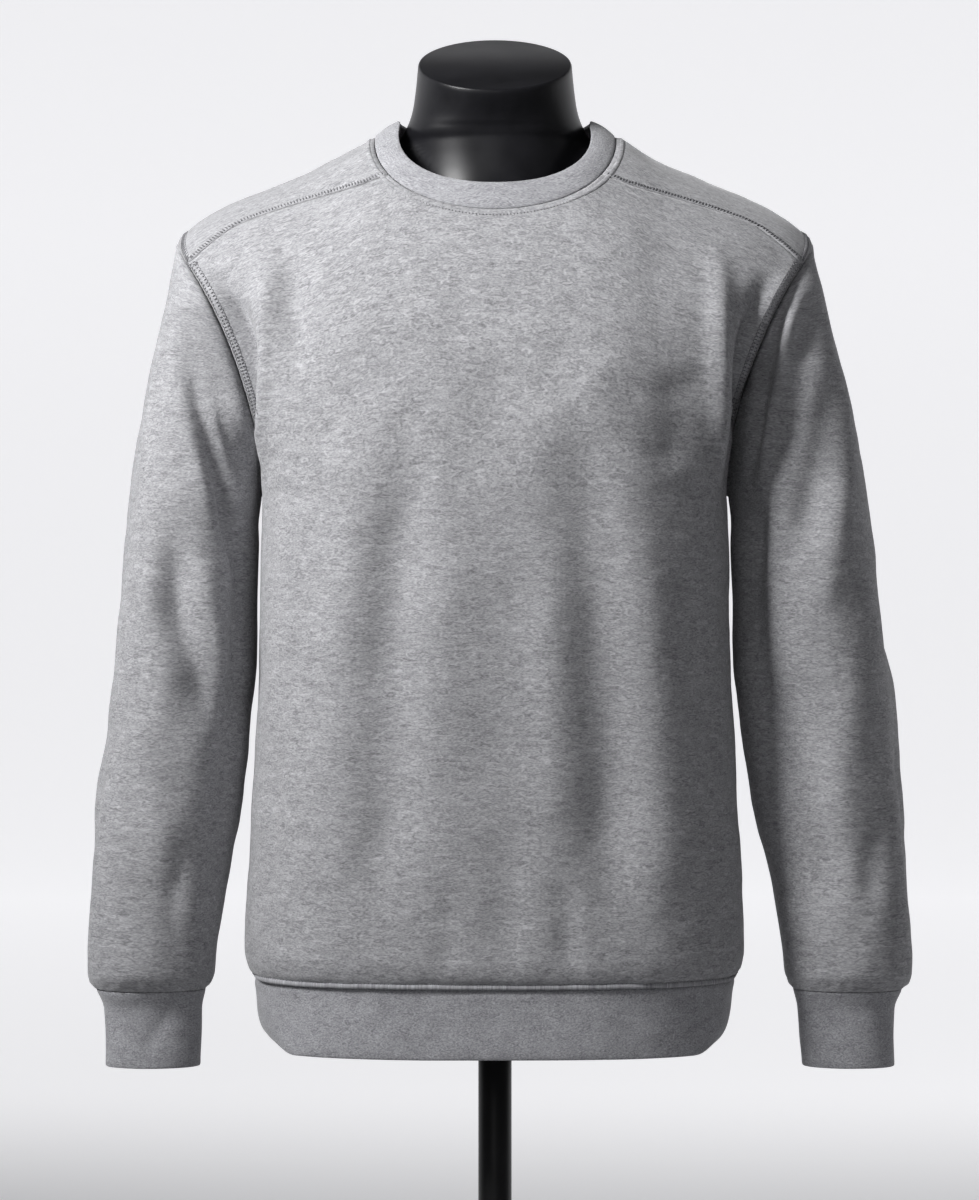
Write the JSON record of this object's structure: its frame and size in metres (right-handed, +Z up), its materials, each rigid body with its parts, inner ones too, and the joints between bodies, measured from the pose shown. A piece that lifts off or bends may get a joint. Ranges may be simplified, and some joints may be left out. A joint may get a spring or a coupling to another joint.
{
  "type": "crewneck sweatshirt on a limbless dress form and counter stand",
  "caption": "Long-sleeved crewneck sweatshirt worn by a limbless dress form on a pole and round base, with ribbed neckband, hem band and cuffs.",
  "frame": {"origin": "centre of the underside of the base plate, where the stand rests", "axes": "+Z up along the pole; the front of the garment faces -Y; +X is the wearer's left"},
  "size_m": [0.615, 0.32, 1.0757],
  "materials": {
    "marl_fleece": "grey marl loopback jersey, matt, slightly fuzzy",
    "marl_rib": "grey marl fine rib, matt",
    "black_form": "smooth black lacquer, satin cap and glossier neck",
    "black_metal": "semi-gloss black"
  },
  "bodies": {
    "root": {"front_panel": "marl_fleece", "back_panel": "marl_fleece", "right_sleeve": "marl_fleece", "left_sleeve": "marl_fleece", "right_cuff": "marl_rib", "left_cuff": "marl_rib", "hem_band": "marl_rib", "neckband": "marl_rib", "dress_form": "black_form", "pole": "black_metal", "base_plate": "black_metal"}
  },
  "joints": []
}
